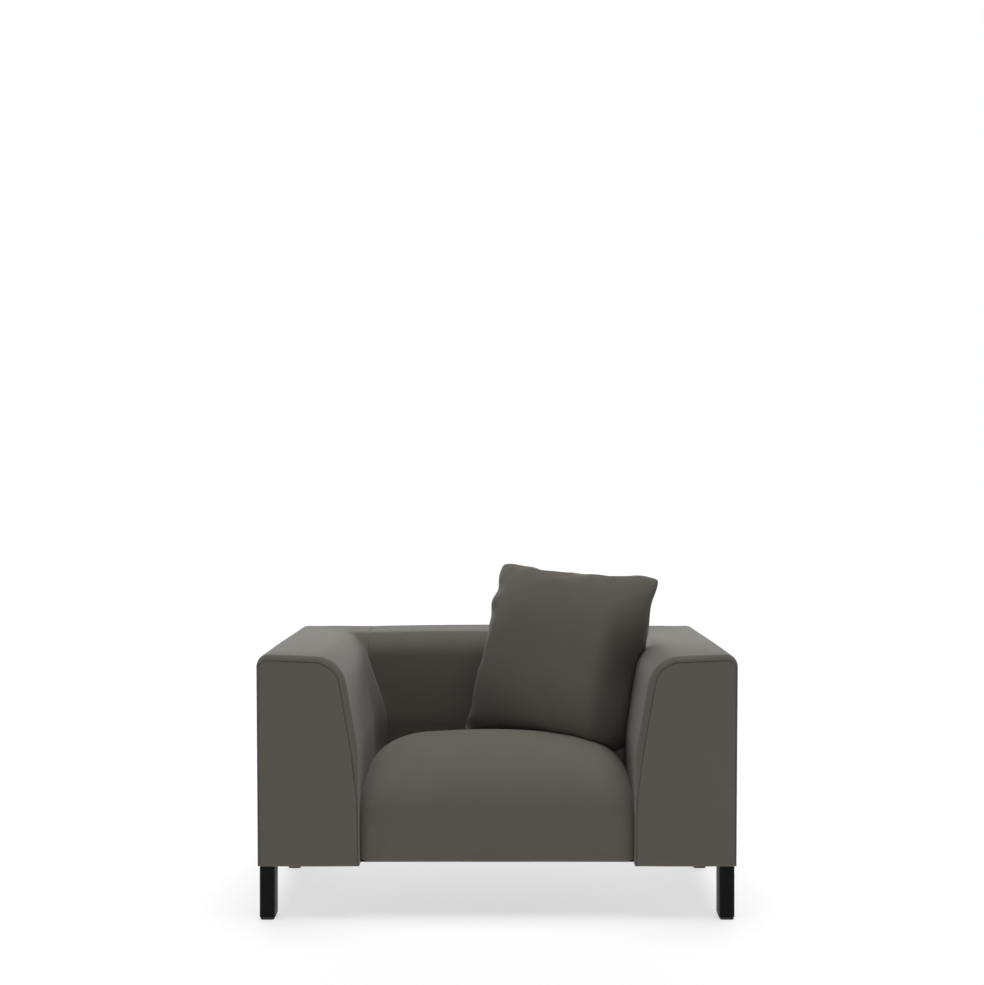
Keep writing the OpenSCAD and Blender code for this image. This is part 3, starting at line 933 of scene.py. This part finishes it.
def fabric(name, base):
    """Matt wool cloth: fine weave, soft melange and short fibres."""
    material, tree, shader = new_material(name, base, 0.92)
    shader.inputs["Sheen Weight"].default_value = 0.15
    shader.inputs["Sheen Roughness"].default_value = 0.5
    shader.inputs["Specular IOR Level"].default_value = 0.25
    place = object_place(tree)
    weave = weave_height(tree, place, THREAD)
    melange = noise(tree, place, 900.0, 3.0)
    patch = noise(tree, place, 14.0, 2.0)
    mix = weighted(tree, (weave, 0.25), (melange, 0.55), (patch, 0.20))
    shade_between(tree, shader, mix, [c * 0.86 for c in base], [c * 1.14 for c in base])
    bump(tree, shader, weighted(tree, (weave, 0.7), (melange, 0.5)), 0.35, 0.0004)
    return material


def black_satin(name):
    """Powder-coated metal with a fine texture."""
    dark, light = (0.0045, 0.0045, 0.0050), (0.0070, 0.0070, 0.0075)
    material, tree, shader = new_material(name, (0.0065, 0.0065, 0.0070), 0.5)
    shader.inputs["Specular IOR Level"].default_value = 0.12
    place = object_place(tree)
    shade_between(tree, shader, noise(tree, place, 30.0), dark, light)
    bump(tree, shader, noise(tree, place, 1400.0), 0.12, 0.0002)
    return material


def timber(name, dark, light, along):
    """Planed wood with its grain along one axis."""
    material, tree, shader = new_material(name, light, 0.6)
    mapping = node(tree, "ShaderNodeMapping")
    tree.links.new(object_place(tree), mapping.inputs[0])
    stretch = [38.0, 38.0, 38.0]
    stretch[along] = 3.0
    mapping.inputs["Scale"].default_value = stretch
    rings = noise(tree, mapping.outputs[0], 1.0, 5.0)
    shade_between(tree, shader, rings, dark, light)
    bump(tree, shader, rings, 0.15, 0.0006)
    return material


def speckled(name, base, rough, scale, depth, contrast=0.2, metal=0.0):
    """A surface with fine variation in colour and height: foam, felt, wadding, plastic or metal."""
    material, tree, shader = new_material(name, base, rough)
    shader.inputs["Metallic"].default_value = metal
    grain = noise(tree, object_place(tree), scale, 3.0)
    dark = [c * (1 - contrast) for c in base]
    light = [min(1.0, c * (1 + contrast)) for c in base]
    shade_between(tree, shader, grain, dark, light)
    bump(tree, shader, grain, 0.4, depth)
    return material


def frame_materials():
    """A material for each slot whose CAD nodes stay in the picture."""
    return {
        "foam": speckled("upholstery_foam", (0.80, 0.72, 0.50), 0.95, 700.0, 0.0005),
        "wadding": speckled("white_wadding", (0.80, 0.80, 0.78), 0.95, 260.0, 0.0015, 0.08),
        "felt": speckled("spring_felt", (0.30, 0.22, 0.14), 0.95, 500.0, 0.0008, 0.3),
        "webbing": speckled("elastic_webbing", (0.03, 0.03, 0.03), 0.8, 900.0, 0.0004, 0.3),
        "dust_cloth": speckled("black_dust_cloth", (0.012, 0.012, 0.012), 0.9, 1100.0, 0.0003, 0.3),
        "timber": timber("beech_rail", (0.36, 0.22, 0.11), (0.55, 0.37, 0.20), 0),
        "plywood": timber("birch_plywood", (0.45, 0.31, 0.17), (0.63, 0.47, 0.28), 2),
        "leg_metal": black_satin("black_leg_coat"),
        "spring_steel": speckled("spring_steel_wire", (0.16, 0.16, 0.17), 0.4, 300.0, 0.0001, 0.15, 1.0),
        "zinc_steel": speckled("zinc_plated_steel", (0.50, 0.51, 0.53), 0.35, 260.0, 0.0001, 0.12, 1.0),
        "glide_plastic": speckled("glide_plastic_black", (0.02, 0.02, 0.02), 0.5, 800.0, 0.0001)}


def dress_frame(materials):
    """Gives each CAD node that stays its own procedural material."""
    slots = {s["node"]: s["material_slot"] for s in frame["record"]["subparts"]}
    for name, obj in frame["nodes"].items():
        if slots[name] in materials:
            paint(obj, materials[slots[name]])


def paint(obj, material):
    """Makes a material the only one of an object."""
    obj.data.materials.clear()
    obj.data.materials.append(material)


# ---- scene ----

def floor():
    """Pale studio floor, lightened so that shadows on it stay soft."""
    material, tree, shader = new_material("studio_floor", (FLOOR_GREY,) * 3, 0.9)
    shader.inputs["Emission Color"].default_value = (1.0, 1.0, 1.0, 1.0)
    shader.inputs["Emission Strength"].default_value = FLOOR_GLOW
    corners = [(-1, -1), (1, -1), (1, 1), (-1, 1)]
    ground = new_mesh("floor", [(x * FLOOR_HALF, y * FLOOR_HALF, 0.0) for x, y in corners], [(0, 1, 2, 3)])
    paint(ground, material)


def sky_light(tree):
    """Brightness of the room by direction: a patch overhead, a low glow behind, and little else."""
    across, along, height = parts_of(tree, node(tree, "ShaderNodeTexCoord").outputs["Generated"])
    tilted = maths(tree, "ADD", height, maths(tree, "MULTIPLY", across, OVERHEAD_TILT))
    overhead = maths(tree, "GREATER_THAN", tilted, OVERHEAD_FROM)
    off_rear = maths(tree, "ABSOLUTE", maths(tree, "ARCTAN2", across, along))
    behind = maths(tree, "LESS_THAN", off_rear, GLOW_HALF_WIDTH)
    above = maths(tree, "GREATER_THAN", height, 0.0)
    low = maths(tree, "MULTIPLY", maths(tree, "LESS_THAN", height, GLOW_UP_TO), above)
    glow = maths(tree, "MULTIPLY", behind, low)
    lights = weighted(tree, (overhead, OVERHEAD_LIGHT), (glow, GLOW_LIGHT))
    return maths(tree, "ADD", lights, AMBIENT)


def studio():
    """White room, seen as white, whose light comes from overhead and from a low glow behind."""
    scene = bpy.context.scene
    scene.world = bpy.data.worlds.new("studio")
    scene.world.use_nodes = True
    tree = scene.world.node_tree
    background = tree.nodes["Background"]
    background.inputs[0].default_value = (1.0, 1.0, 1.0, 1.0)
    seen = node(tree, "ShaderNodeLightPath").outputs["Is Camera Ray"]
    unseen = maths(tree, "SUBTRACT", 1.0, seen)
    shown = maths(tree, "MAXIMUM", seen, maths(tree, "MULTIPLY", sky_light(tree), unseen))
    tree.links.new(shown, background.inputs[1])
    scene.view_settings.view_transform = "Standard"


def camera():
    """Level camera in front of the chair, its view shifted a little off the lens axis."""
    data = bpy.data.cameras.new("camera")
    data.sensor_width = SENSOR_MM
    data.lens = LENS_MM
    data.shift_x, data.shift_y = VIEW_SHIFT
    data.clip_end = 200.0
    view = bpy.data.objects.new("camera", data)
    bpy.context.scene.collection.objects.link(view)
    view.location = CAMERA_AT
    view.rotation_euler = (math.radians(90.0), 0.0, 0.0)
    bpy.context.scene.camera = view


def arm_pieces(side, word):
    """Cover, front panel and rear panel of one arm."""
    return [arm_wrap(side, "arm_upholstery_" + word, "arm_cover_" + word),
            arm_front(side, "arm_front_" + word, "arm_front_panel_" + word),
            arm_rear(side, "arm_rear_" + word, "arm_rear_panel_" + word)]


def build():
    """Makes every visible piece and gives it its material."""
    cloth = fabric("upholstery_cloth", CLOTH)
    left = arm_pieces(-1, "left")
    right = arm_pieces(1, "right")
    back = back_wrap("back_upholstery", "back_cover")
    outer = back_rear("back_outer", "back_outer_panel")
    seat = seat_upholstery("seat_upholstery", "seat_cover")
    cushion = throw_cushion(seat, right[0], back)
    for piece in left + right + [back, outer, seat]:
        paint(piece, cloth)
    paint(cushion, fabric("cushion_cloth", CLOTH))
    dress_frame(frame_materials())


build()
floor()
studio()
camera()
